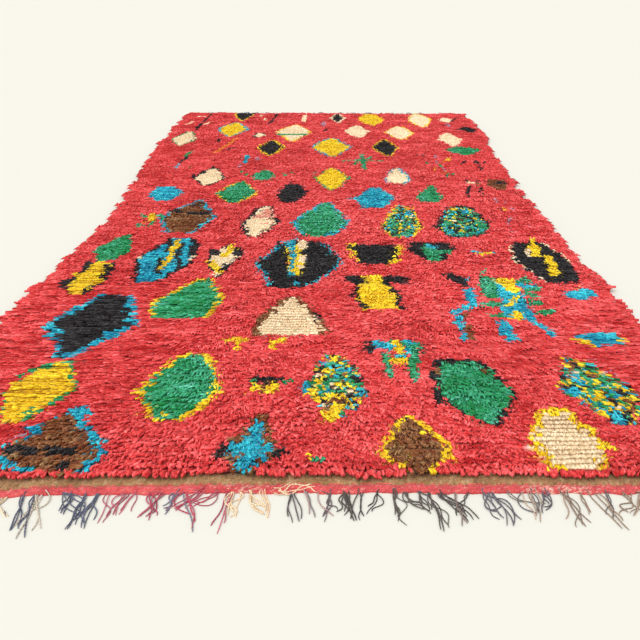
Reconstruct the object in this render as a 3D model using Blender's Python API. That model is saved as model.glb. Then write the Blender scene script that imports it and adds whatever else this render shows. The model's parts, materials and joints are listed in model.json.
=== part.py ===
"""A hand-knotted wool pile rug that lies flat: the shaggy pile field, the plain woven band at
each end, and the red end stripe with the warp ends that leave it as a fringe.

X runs across the rug, +Y from its near end to its far end, +Z up. Metres.
"""

import math
import random

import bmesh
import bpy
import numpy as np
from mathutils import Vector

# Driving sizes
PILE_LENGTH = 3.02  # from the tips of the near locks to the tips of the far ones
PILE_TOP = 0.0175  # mean height of the lying pile
LOCK_REACH = 0.017  # how far the longest locks hang past the knotted edge
SHOULDER = 0.004  # the pile's top starts this far inside the knotted edge
RAGGED = 0.008  # how unevenly the pile's edge itself runs past the knots
FOOT_TOP = 0.0045  # the pile is upright up to here, beside the woven bands
RIM_LOW = 0.0058  # underside of the pile's edge, clear of the woven bands
RIM_DROP = 0.0035  # the edge lies this much lower than the pile beside it
ROUGH = 0.0020  # how much single tufts stand above or below the lumps
BAND_WIDTH = 0.022  # plain brown weave between the pile and the red stripe
BAND_THICK = 0.0026
STRIPE_WIDTH = 0.020  # red stripe that binds the warp ends
STRIPE_THICK = 0.0024
FRINGE = 0.105  # longest warp ends
SHORTEST = 0.62  # share of that length that the shortest ones have
STRAND_WIDTH = 0.0042
JOIN_GAP = 0.0003  # between two pieces that lie edge to edge

FIELD_COLUMNS = 34
FIELD_ROWS = 62
LOCK_EVERY = 3  # one lock to this many faces of the rim
NEAR_STRANDS = 88
FAR_STRANDS = 60

# Outline of the pile, lock tip to lock tip: distance from the near end, left edge, right edge
OUTLINE = {
    "along": (0.00, 0.30, 0.55, 0.80, 1.00, 1.15, 1.35, 1.65, 1.95, 2.25, 2.60, 2.85, 3.02),
    "left": (
        -0.845, -0.840, -0.829, -0.815, -0.797, -0.783, -0.776,
        -0.796, -0.822, -0.840, -0.846, -0.846, -0.840,
    ),
    "right": (
        0.822, 0.818, 0.810, 0.806, 0.789, 0.790, 0.791,
        0.779, 0.792, 0.801, 0.834, 0.812, 0.808,
    ),
}
# The near end isn't square: it runs past its line at the left and stays behind it at the right
BOW_LEFT = 0.036
BOW_LEFT_FROM = -0.10
BOW_RIGHT = 0.010
BOW_FADE = 0.45  # the bow dies out this far into the pile

# Lumps in the pile's top: waves for each metre across and along, and their height
LUMPS = {
    "across": (2.1, -3.3, 5.2, -6.1, 1.2, 7.3),
    "along": (3.7, 4.9, 1.4, -2.7, 7.1, 5.6),
    "height": (0.0011, 0.0010, 0.0007, 0.0008, 0.0010, 0.0006),
}

END_WIDTH = BAND_WIDTH + STRIPE_WIDTH - LOCK_REACH
CENTRE_ALONG = (PILE_LENGTH - BOW_LEFT) / 2  # middle of the whole, fringe to fringe

YARNS = {
    "red_pile": ((0.62, 0.055, 0.062), 0.95),
    "brown_weave": ((0.25, 0.145, 0.070), 0.90),
    "red_weave": ((0.58, 0.060, 0.070), 0.92),
}


def clear_scene():
    for obj in list(bpy.data.objects):
        bpy.data.objects.remove(obj)


def yarn_material(name):
    colour, roughness = YARNS[name]
    material = bpy.data.materials.new(name)
    material.use_nodes = True
    shader = material.node_tree.nodes["Principled BSDF"]
    shader.inputs["Base Color"].default_value = (*colour, 1)
    shader.inputs["Roughness"].default_value = roughness
    shader.inputs["Metallic"].default_value = 0
    return material


def new_object(name, bm, yarn, smooth=False):
    mesh = bpy.data.meshes.new(name)
    bm.to_mesh(mesh)
    bm.free()
    if smooth:
        mesh.shade_smooth()
    mesh.materials.append(yarn_material(yarn))
    obj = bpy.data.objects.new(name, mesh)
    bpy.context.scene.collection.objects.link(obj)


def knotted_edges(along):
    """Where the knots start and end across the rug, at a distance from the near tips."""
    left = np.interp(along, OUTLINE["along"], OUTLINE["left"])
    right = np.interp(along, OUTLINE["along"], OUTLINE["right"])
    return float(left) + LOCK_REACH, float(right) - LOCK_REACH


def bowed(across, along):
    """The plan position of a point, with the near end's bow."""
    left = max(0.0, (BOW_LEFT_FROM - across) / (BOW_LEFT_FROM - OUTLINE["left"][0]))
    right = max(0.0, across / OUTLINE["right"][0])
    fade = max(0.0, 1 - max(along, 0.0) / BOW_FADE)
    shift = (BOW_RIGHT * right ** 2 - BOW_LEFT * left ** 2) * fade ** 2
    return across, along + shift - CENTRE_ALONG


def lumps(x, y):
    waves = zip(LUMPS["across"], LUMPS["along"], LUMPS["height"])
    return sum(high * math.sin(math.tau * (a * x + b * y) + k) for k, (a, b, high) in enumerate(waves))


def on_slab(share_across, share_along, inset):
    """Plan position on the slab, from shares of its width and length, inside the knotted edge."""
    along = LOCK_REACH + inset + share_along * (PILE_LENGTH - 2 * LOCK_REACH - 2 * inset)
    left, right = knotted_edges(along)
    across = left + inset + share_across * (right - left - 2 * inset)
    return bowed(across, along)


def new_verts(made):
    return [item for item in made["geom"] if isinstance(item, bmesh.types.BMVert)]


def open_edges(bm):
    return [edge for edge in bm.edges if edge.is_boundary]


def pile_field():
    """A slab with a lumpy top and a flat underside, with locks that hang out of its rim."""
    draw = random.Random(5)
    bm = bmesh.new()
    bmesh.ops.create_grid(bm, x_segments=FIELD_COLUMNS, y_segments=FIELD_ROWS, size=0.5)
    bmesh.ops.subdivide_edges(bm, edges=open_edges(bm), cuts=1)
    overhang = {place_of(vert): draw.uniform(0.0, RAGGED) for vert in bm.verts if vert.is_boundary}
    tiers = [new_verts(bmesh.ops.extrude_edge_only(bm, edges=open_edges(bm))) for _ in range(3)]
    bmesh.ops.edgeloop_fill(bm, edges=open_edges(bm))
    below = {}
    for verts, height in zip(tiers, (RIM_LOW, FOOT_TOP, 0.0)):
        below.update({vert: height for vert in verts})
    for vert in bm.verts:
        out = overhang.get(place_of(vert), 0.0)
        inset = 0.0 if below.get(vert, RIM_LOW) < RIM_LOW else -out
        if vert not in below:
            inset += SHOULDER
        x, y = on_slab(vert.co.x + 0.5, vert.co.y + 0.5, inset)
        top = PILE_TOP + lumps(x, y) + draw.uniform(-ROUGH, ROUGH) - (RIM_DROP if out else 0.0)
        vert.co = (x, y, below.get(vert, top))
    bmesh.ops.recalc_face_normals(bm, faces=bm.faces)
    hang_locks(bm, set(tiers[0]))
    new_object("pile_field", bm, "red_pile", smooth=True)


def place_of(vert):
    """A vertex's place in the unit grid, the same for those above each other."""
    return round(vert.co.x, 4), round(vert.co.y, 4)


def hang_locks(bm, ledge):
    """Draws some of the rim's upper faces out into blunt locks that droop a little."""
    draw = random.Random(11)
    upper = [face for face in bm.faces if len(ledge.intersection(face.verts)) == 2]
    upper = [face for face in upper if face.calc_center_median().z > RIM_LOW]
    upper.sort(key=lambda face: math.atan2(*face.calc_center_median().xy))
    for face in upper[::LOCK_EVERY]:
        way = Vector((*face.normal.xy, 0)).normalized()
        along_rim = Vector((-way.y, way.x, 0))
        reach = (way + along_rim * draw.uniform(-0.35, 0.35)) * LOCK_REACH * draw.uniform(0.7, 1.0)
        for share, keep, droop in ((0.6, 0.80, 0.0005), (0.4, 0.60, 0.0008)):
            face = bmesh.ops.extrude_discrete_faces(bm, faces=[face])["faces"][0]
            centre = face.calc_center_median()
            for vert in face.verts:
                vert.co = centre + (vert.co - centre) * keep + reach * share
                vert.co.z -= droop


def thicken(bm, depth):
    """Draws a flat sheet's faces down into a slab of that depth."""
    made = bmesh.ops.extrude_face_region(bm, geom=list(bm.faces), use_keep_orig=True)
    for vert in new_verts(made):
        vert.co.z -= depth
    bmesh.ops.recalc_face_normals(bm, faces=bm.faces)


def woven_strip(stations, inner, outer, top):
    """A flat strip along one end of the rug, cut across at the given places."""
    bm = bmesh.new()
    rows = [[bm.verts.new((*bowed(across, along), top)) for across in stations] for along in (inner, outer)]
    for k in range(len(stations) - 1):
        bm.faces.new((rows[0][k], rows[0][k + 1], rows[1][k + 1], rows[1][k]))
    thicken(bm, top)
    return bm


def woven_band(name, inner, outer):
    """The plain woven band beside the knots, cut across where the slab's rim is."""
    left, right = knotted_edges(inner)
    stations = np.linspace(left, right, 2 * FIELD_COLUMNS + 1)
    new_object(name, woven_strip(stations, inner, outer, BAND_THICK), "brown_weave")


def warp_fringe(name, inner, outer, count, steps, seed):
    """The red end stripe, and the warp ends drawn out of its outer edge along the floor."""
    draw = random.Random(seed)
    left, right = knotted_edges(inner)
    pitch = (right - left) / count
    stations = [left]
    for k in range(count):
        middle = left + (k + 0.5) * pitch
        stations += [middle - STRAND_WIDTH / 2, middle + STRAND_WIDTH / 2]
    stations.append(right)
    bm = woven_strip(stations, inner, outer, STRIPE_THICK)
    away = math.copysign(1, outer - inner)
    root_area = 1.3 * STRAND_WIDTH * STRIPE_THICK
    roots = [face for face in bm.faces if face.normal.y * away > 0.9 and face.calc_area() < root_area]
    roots.sort(key=lambda face: face.calc_center_median().x)
    for k, root in enumerate(roots):
        bunch = math.sin(0.33 * k + seed) + 0.5 * math.sin(0.71 * k)
        lean = pitch * (0.9 * bunch + draw.uniform(-0.12, 0.12))
        curl = pitch * 0.35 * math.sin(0.45 * k + 2.0)
        reach = away * FRINGE * draw.uniform(SHORTEST, 1.0)
        draw_strand(bm, root, reach, lean, curl, steps)
    new_object(name, bm, "red_weave")


def draw_strand(bm, face, reach, lean, curl, steps):
    """Draws one warp end out of the stripe, level on the floor, bending to one side and back."""
    start = face.calc_center_median()
    middle = start.x
    for k in range(1, steps + 1):
        share = k / steps
        face = bmesh.ops.extrude_discrete_faces(bm, faces=[face])["faces"][0]
        moved = start.x + lean * share ** 1.5 + curl * math.sin(math.pi * share)
        slim = 1 - 0.25 * share
        for vert in face.verts:
            side = math.copysign(STRAND_WIDTH / 2 * slim, vert.co.x - middle)
            height = STRIPE_THICK * slim if vert.co.z > STRIPE_THICK / 4 else 0.0
            vert.co = (moved + side, start.y + reach * share, height)
        middle = moved


def main():
    clear_scene()
    pile_field()
    near = {"band": LOCK_REACH - JOIN_GAP, "stripe": LOCK_REACH - BAND_WIDTH}
    woven_band("near_band", near["band"], near["stripe"])
    warp_fringe("near_fringe", near["stripe"] - JOIN_GAP, -END_WIDTH, NEAR_STRANDS, steps=4, seed=23)
    far = {name: PILE_LENGTH - place for name, place in near.items()}
    woven_band("far_band", far["band"], far["stripe"])
    warp_fringe("far_fringe", far["stripe"] + JOIN_GAP, PILE_LENGTH + END_WIDTH, FAR_STRANDS, steps=3, seed=41)


main()
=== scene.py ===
import json
import math

import bpy
import numpy as np
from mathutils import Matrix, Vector

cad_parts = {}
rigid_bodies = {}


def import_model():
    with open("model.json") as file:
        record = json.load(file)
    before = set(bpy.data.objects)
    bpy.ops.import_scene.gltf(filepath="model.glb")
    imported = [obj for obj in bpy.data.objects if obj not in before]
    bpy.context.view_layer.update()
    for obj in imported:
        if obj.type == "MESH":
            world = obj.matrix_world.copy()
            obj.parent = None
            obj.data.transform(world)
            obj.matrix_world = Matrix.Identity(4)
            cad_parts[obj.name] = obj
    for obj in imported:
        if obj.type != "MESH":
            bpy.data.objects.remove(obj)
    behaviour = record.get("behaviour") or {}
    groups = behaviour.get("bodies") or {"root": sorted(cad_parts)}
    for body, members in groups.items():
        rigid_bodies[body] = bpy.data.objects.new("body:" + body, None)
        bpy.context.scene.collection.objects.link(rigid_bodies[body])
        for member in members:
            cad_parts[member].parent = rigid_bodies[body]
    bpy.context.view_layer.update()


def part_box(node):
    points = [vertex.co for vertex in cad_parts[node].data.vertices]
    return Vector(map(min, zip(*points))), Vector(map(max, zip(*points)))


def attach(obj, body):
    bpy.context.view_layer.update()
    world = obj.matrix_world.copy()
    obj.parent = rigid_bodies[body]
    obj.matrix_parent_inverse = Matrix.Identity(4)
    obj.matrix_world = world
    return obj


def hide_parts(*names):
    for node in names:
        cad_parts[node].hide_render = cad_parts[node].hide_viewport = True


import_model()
print("frame loaded")

# the rug's plan: u runs across it and v along it from the tips at its near end, both in metres
rug = {
    "length": 3.02,
    "along": (0.00, 0.30, 0.55, 0.80, 1.00, 1.15, 1.35, 1.65, 1.95, 2.25, 2.60, 2.85, 3.02),
    "left": (-0.845, -0.840, -0.829, -0.815, -0.797, -0.783, -0.776, -0.796, -0.822, -0.840, -0.846,
             -0.846, -0.840),
    "right": (0.822, 0.818, 0.810, 0.806, 0.789, 0.790, 0.791, 0.779, 0.792, 0.801, 0.834, 0.812, 0.808),
    "lockReach": 0.017,     # tips lie this far outside the knots
    "bowLeft": 0.036,       # the near end bows out on the left and in on the right by so much
    "bowRight": 0.010,
    "bowLeftFrom": 0.25,    # where the left bow begins, across
    "bowFade": 0.45,        # the bow is gone at this distance along
    "pileTop": 0.0175,      # mean height of the pile
    "lumpAcross": (2.1, -3.3, 5.2, -6.1, 1.2, 7.3),    # waves for each metre
    "lumpAlong": (3.7, 4.9, 1.4, -2.7, 7.1, 5.6),
    "lumpHeight": (0.0011, 0.0010, 0.0007, 0.0008, 0.0010, 0.0006),
}
rug["centre"] = (rug["length"] - rug["bowLeft"]) / 2

# dyes as linear colours
dyes = {
    "red": (0.780, 0.075, 0.075),
    "green": (0.034, 0.335, 0.143),
    "yellow": (0.930, 0.645, 0.020),
    "blue": (0.025, 0.430, 0.560),
    "black": (0.022, 0.019, 0.020),
    "brown": (0.240, 0.088, 0.031),
    "cream": (0.900, 0.690, 0.430),
    "orange": (0.850, 0.250, 0.030),
    "lavender": (0.480, 0.270, 0.360),
    "pink": (0.880, 0.380, 0.270),
}
dyeNames = list(dyes)
palette = np.array(list(dyes.values()))
creamDye, yellowDye = dyeNames.index("cream"), dyeNames.index("yellow")
# how much the tone of one dye differs from knot to knot
dyeSpread = {"red": 0.11, "green": 0.20, "yellow": 0.07, "blue": 0.17, "black": 0.25, "brown": 0.16,
             "cream": 0.05, "orange": 0.10, "lavender": 0.10, "pink": 0.08}
deepening = 2.2     # the weak channels of a dye change with its tone by a power this much higher


def toned(colours, tone):
    """Lighter or darker wool: the strongest channel is multiplied by the tone and the weaker ones
    by a power of it, since deep shades of a dye are purer and light ones paler."""
    weak = 1 - colours / colours.max(axis=-1, keepdims=True)
    return colours * tone[..., None] ** (1 + deepening * weak)


def knottedEdges(v):
    return (np.interp(v, rug["along"], rug["left"]) + rug["lockReach"],
            np.interp(v, rug["along"], rug["right"]) - rug["lockReach"])


def planPlace(u, v):
    """Object place of a point of the straight rug: the bow is a square of the distance across that
    fades with the square of the distance along."""
    left = np.maximum(0, (rug["bowLeftFrom"] - u) / (rug["bowLeftFrom"] - rug["left"][0]))
    right = np.maximum(0, u / rug["right"][0])
    fade = np.maximum(0, 1 - np.maximum(v, 0) / rug["bowFade"])
    shift = (rug["bowRight"] * right ** 2 - rug["bowLeft"] * left ** 2) * fade ** 2
    return u, v + shift - rug["centre"]


def fieldPlace(shareAcross, shareAlong):
    """Object place of a share of the knotted width and length."""
    v = rug["lockReach"] + shareAlong * (rug["length"] - 2 * rug["lockReach"])
    left, right = knottedEdges(v)
    return planPlace(left + shareAcross * (right - left), v)


def lumpsAt(x, y):
    """Sum of slanting sine waves, as the solids have."""
    total = np.zeros_like(x)
    for k, (a, b, high) in enumerate(zip(rug["lumpAcross"], rug["lumpAlong"], rug["lumpHeight"])):
        total += high * np.sin(math.tau * (a * x + b * y) + k)
    return total


# Meshes from arrays

def newPiece(name, points, faces, material, smooth=True):
    """A mesh object from point and face arrays, the faces all of one size."""
    mesh = bpy.data.meshes.new(name)
    faces = np.asarray(faces, np.int32)
    size = faces.shape[1]
    mesh.vertices.add(len(points))
    mesh.vertices.foreach_set("co", np.asarray(points, np.float32).ravel())
    mesh.loops.add(faces.size)
    mesh.polygons.add(len(faces))
    mesh.polygons.foreach_set("loop_start", np.arange(0, faces.size, size, dtype=np.int32))
    mesh.polygons.foreach_set("vertices", faces.ravel())
    mesh.update(calc_edges=True)
    mesh.validate()
    if smooth:
        mesh.shade_smooth()
    mesh.materials.append(material)
    piece = bpy.data.objects.new(name, mesh)
    bpy.context.scene.collection.objects.link(piece)
    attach(piece, "root")
    return piece


def paintPoints(piece, colours):
    """Stores a colour for each point as the attribute that the wool materials read."""
    full = np.ones((len(colours), 4), np.float32)
    full[:, :3] = colours
    layer = piece.data.color_attributes.new("yarnColour", "FLOAT_COLOR", "POINT")
    layer.data.foreach_set("color", full.ravel())


# Wool shading, shared by all the materials

def feed(tree, node, inputs):
    """Gives inputs of a node their value, or links them to another node's output."""
    for key, value in dict(inputs).items():
        if isinstance(value, bpy.types.NodeSocket):
            tree.links.new(value, node.inputs[key])
        else:
            node.inputs[key].default_value = value


def addNode(tree, kind, inputs=(), **settings):
    node = tree.nodes.new(kind)
    for key, value in settings.items():
        setattr(node, key, value)
    feed(tree, node, inputs)
    return node


def mathNode(tree, operation, *terms):
    return addNode(tree, "ShaderNodeMath", enumerate(terms), operation=operation).outputs[0]


def noiseNode(tree, **inputs):
    return addNode(tree, "ShaderNodeTexNoise", inputs).outputs["Fac"]


def toneNode(tree, colour, value):
    inputs = {"Color": colour, "Value": value}
    return addNode(tree, "ShaderNodeHueSaturation", inputs).outputs["Color"]


# the wool finish: how much each of three noises changes the tone, and the scale of two of them,
# since the third has that of the fibres
wool = {
    "noises": {"abrash": 0.1, "abrashScale": 5.0, "mottle": 0.15, "mottleScale": 160.0, "streak": 0.1},
    "surface": {"Roughness": 0.9, "Sheen Roughness": 0.5, "Specular IOR Level": 0.1},
}


def makeWoolGroup():
    """Mottled dye and fibre relief. The tone is one plus twice the sum of the noises, each about
    zero; light places are less pure. The third noise gives the height too."""
    tree = bpy.data.node_groups.new("dyedWool", "ShaderNodeTree")
    for way, kind, names in (
            ("INPUT", "Color", ("yarnColour",)), ("INPUT", "Vector", ("place", "fibrePlace")),
            ("INPUT", "Float", wool["noises"]), ("OUTPUT", "Color", ("colour",)),
            ("OUTPUT", "Float", ("height",))):
        for name in names:
            tree.interface.new_socket(name, in_out=way, socket_type="NodeSocket" + kind)
    entry = addNode(tree, "NodeGroupInput").outputs

    def swing(noise, amount):
        return mathNode(tree, "MULTIPLY", mathNode(tree, "SUBTRACT", noise, 0.5), entry[amount])

    abrash = noiseNode(tree, Vector=entry["place"], Scale=entry["abrashScale"], Detail=1.0)
    mottle = noiseNode(tree, Vector=entry["place"], Scale=entry["mottleScale"], Detail=2.0)
    fibres = noiseNode(tree, Vector=entry["fibrePlace"], Scale=1.0, Detail=2.0)
    both = mathNode(tree, "ADD", swing(abrash, "abrash"), swing(mottle, "mottle"))
    swings = mathNode(tree, "ADD", both, swing(fibres, "streak"))
    value = mathNode(tree, "ADD", mathNode(tree, "MULTIPLY", swings, 2.0), 1.0)
    gamma = mathNode(tree, "SUBTRACT", 1.5, mathNode(tree, "MULTIPLY", value, 0.5))
    purer = addNode(tree, "ShaderNodeGamma", {"Color": entry["yarnColour"], "Gamma": gamma})
    colour = toneNode(tree, purer.outputs["Color"], value)
    addNode(tree, "NodeGroupOutput", {"colour": colour, "height": fibres})
    return tree


woolGroup = makeWoolGroup()


def woolMaterial(name, fibreScale, relief, depth, fibreMap=None, sheen=0.1, **noises):
    """A wool finish: the piece's yarn colours through the shared group, with its fibre relief. The
    fibres run along the object's axes, or along a map of the piece."""
    material = bpy.data.materials.new(name)
    material.use_nodes = True
    tree = material.node_tree
    place = addNode(tree, "ShaderNodeTexCoord").outputs["Object"]
    fibres = addNode(tree, "ShaderNodeUVMap", uv_map=fibreMap).outputs["UV"] if fibreMap else place
    group = addNode(tree, "ShaderNodeGroup", name="wool", node_tree=woolGroup)
    stretched = addNode(tree, "ShaderNodeMapping", {"Vector": fibres, "Scale": fibreScale})
    colour = addNode(tree, "ShaderNodeAttribute", attribute_name="yarnColour")
    feed(tree, group, {"yarnColour": colour.outputs["Color"], "place": place,
                       "fibrePlace": stretched.outputs["Vector"], **wool["noises"], **noises})
    bump = addNode(tree, "ShaderNodeBump", name="relief", inputs={
        "Strength": relief, "Distance": depth, "Height": group.outputs["height"]})
    feed(tree, tree.nodes["Principled BSDF"], {
        **wool["surface"], "Sheen Weight": sheen, "Base Color": group.outputs["colour"],
        "Normal": bump.outputs["Normal"]})
    return material


def retone(material, value):
    """Lightens or darkens a wool finish by a value of its own node tree."""
    tree = material.node_tree
    colour = toneNode(tree, tree.nodes["wool"].outputs["colour"], value)
    feed(tree, tree.nodes["Principled BSDF"], {"Base Color": colour})


# The pattern: lozenges knotted by eye, in rows, and small figures made of short strokes.
# Each lozenge has, in millimetres, its left and right side, its near and far end and how far it
# leans across; in hundredths, where along it is widest, how wide its near and far ends are and how
# straight its sides are (100 straight, less is rounder); its dye; and if it has a rim, the rim's
# dye and how wide the rim is at the left, the right, the near and the far side, in millimetres
lozenges = [
    # first row from the near end
    (-606, -404, 0, 178, -10, 33, 70, 12, 100, "brown", "blue", 6, 20, 0, 0),
    (-184, -76, 2, 174, 22, 36, 40, 10, 105, "blue", "brown", 13, 13, 0, 0),
    (104, 256, 10, 172, -12, 32, 16, 12, 80, "brown", "yellow", 18, 15, 0, 0),
    (392, 552, 22, 195, 0, 38, 55, 32, 80, "cream", "yellow", 20, 18, 0, 18),
    # second
    (-682, -532, 142, 362, 25, 47, 24, 18, 75, "yellow", "green", 4, 6, 0, 4),
    (-400, -213, 150, 388, 10, 42, 25, 25, 65, "green", "yellow", 14, 13, 0, 0),
    (-40, 96, 155, 390, 0, 42, 8, 20, 76, "mixed"),
    (240, 412, 150, 375, -20, 44, 20, 55, 80, "green", "black", 10, 8, 0, 6),
    (513, 678, 148, 388, -35, 47, 15, 22, 80, "mixed"),
    # third
    (-710, -468, 374, 684, 30, 46, 18, 46, 120, "black", "blue", 20, 20, 3, 4),
    (-456, -264, 560, 790, 30, 38, 80, 18, 95, "green", "yellow", 12, 13, 0, 0),
    (-182, 12, 476, 676, -3, 18, 94, 18, 80, "cream", "brown", 19, 17, 0, 5),
    (78, 212, 610, 812, -20, 40, 80, 50, 90, "yellow", "black", 12, 13, 0, 0),
    # fourth
    (-738, -626, 690, 890, 20, 40, 50, 60, 70, "yellow", "black", 12, 15, 0, 0),
    (-732, -616, 893, 1104, 20, 42, 25, 12, 80, "green"),
    (-580, -400, 757, 1085, 40, 52, 42, 35, 85, "blue", "black", 8, 14, 4, 4),
    (-368, -262, 795, 1035, 10, 60, 10, 15, 90, "cream", "black", 10, 10, 0, 0),
    (-218, 56, 733, 1056, 32, 52, 36, 44, 95, "black", "blue", 8, 8, 0, 0),
    (70, 250, 893, 1050, 0, 75, 60, 85, 80, "black", "yellow", 10, 17, 0, 0),
    (262, 414, 908, 1062, 0, 60, 15, 85, 80, "black"),
    (578, 756, 772, 1062, -20, 54, 45, 55, 90, "black", "cream", 5, 5, 2, 0),
    # fifth
    (-592, -392, 1127, 1464, 10, 42, 42, 10, 85, "brown", "blue", 13, 13, 0, 8),
    (-300, -164, 1097, 1394, 20, 40, 28, 22, 85, "cream", "black", 14, 12, 0, 12),
    (-112, 86, 1110, 1444, 30, 37, 52, 14, 85, "green", "blue", 9, 9, 0, 4),
    (196, 346, 1096, 1404, 35, 33, 42, 34, 85, "darkMixed", "yellow", 8, 8, 3, 0),
    (386, 584, 1112, 1404, 40, 36, 50, 36, 85, "darkMixed", "black", 10, 10, 6, 12),
    # sixth
    (-702, -570, 1440, 1620, -20, 50, 42, 52, 85, "blue"),
    (-434, -272, 1434, 1690, 10, 41, 25, 5, 72, "green", "yellow", 7, 6, 0, 0),
    (-196, -74, 1438, 1656, 10, 42, 42, 45, 85, "black"),
    (116, 266, 1378, 1622, 20, 46, 52, 20, 85, "blue"),
    (354, 464, 1444, 1642, 30, 28, 45, 12, 90, "green"),
    (662, 744, 1594, 1722, 0, 55, 38, 70, 85, "brown"),
    # seventh
    (-570, -424, 1630, 1876, 0, 43, 18, 14, 85, "cream", "black", 13, 7, 0, 18),
    (-318, -220, 1700, 1864, -5, 40, 55, 10, 80, "green"),
    (-50, 95, 1582, 1884, 5, 52, 10, 8, 85, "yellow", "green", 6, 6, 0, 0),
    (247, 358, 1660, 1880, 10, 33, 50, 25, 90, "cream", "blue", 6, 7, 0, 4),
    # ninth
    (-344, -202, 2078, 2360, 0, 50, 8, 8, 80, "black", "yellow", 10, 10, 10, 10),
    (-76, 120, 2054, 2414, 0, 50, 6, 6, 80, "yellow", "blue", 11, 11, 11, 11),
    (216, 356, 2072, 2378, 0, 50, 8, 8, 80, "black", "yellow", 8, 8, 8, 8),
    (566, 744, 2108, 2252, 0, 50, 20, 20, 80, "green"),
    # tenth
    (-796, -666, 2240, 2528, 0, 50, 10, 10, 80, "cream", "green", 9, 9, 9, 9),
    (-598, -426, 2432, 2756, 0, 50, 10, 10, 80, "yellow", "blue", 10, 10, 10, 10),
    (-392, -320, 2420, 2516, 0, 50, 20, 20, 80, "cream", "black", 8, 8, 8, 8),
    (-274, -84, 2348, 2696, 0, 52, 8, 8, 80, "cream", "yellow", 10, 10, 10, 10),
    (94, 226, 2414, 2678, 0, 50, 10, 10, 80, "cream"),
    (302, 462, 2384, 2672, 0, 50, 10, 10, 80, "cream", "yellow", 10, 10, 10, 10),
    (566, 690, 2258, 2522, 0, 50, 10, 10, 80, "cream"),
    (704, 816, 2540, 2672, 0, 50, 15, 15, 80, "black"),
    # eleventh, cut by the far end
    (-554, -428, 2786, 3100, 0, 55, 6, 30, 80, "black", "yellow", 10, 10, 10, 10),
    (14, 102, 2762, 2966, 0, 50, 10, 10, 80, "black", "cream", 9, 9, 9, 9),
    (172, 330, 2678, 3000, 0, 50, 10, 10, 80, "yellow"),
    (452, 596, 2642, 3008, 0, 50, 10, 10, 80, "cream", "yellow", 10, 10, 10, 10),
    (638, 714, 2768, 2882, 0, 50, 20, 20, 80, "cream"),
]

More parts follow.
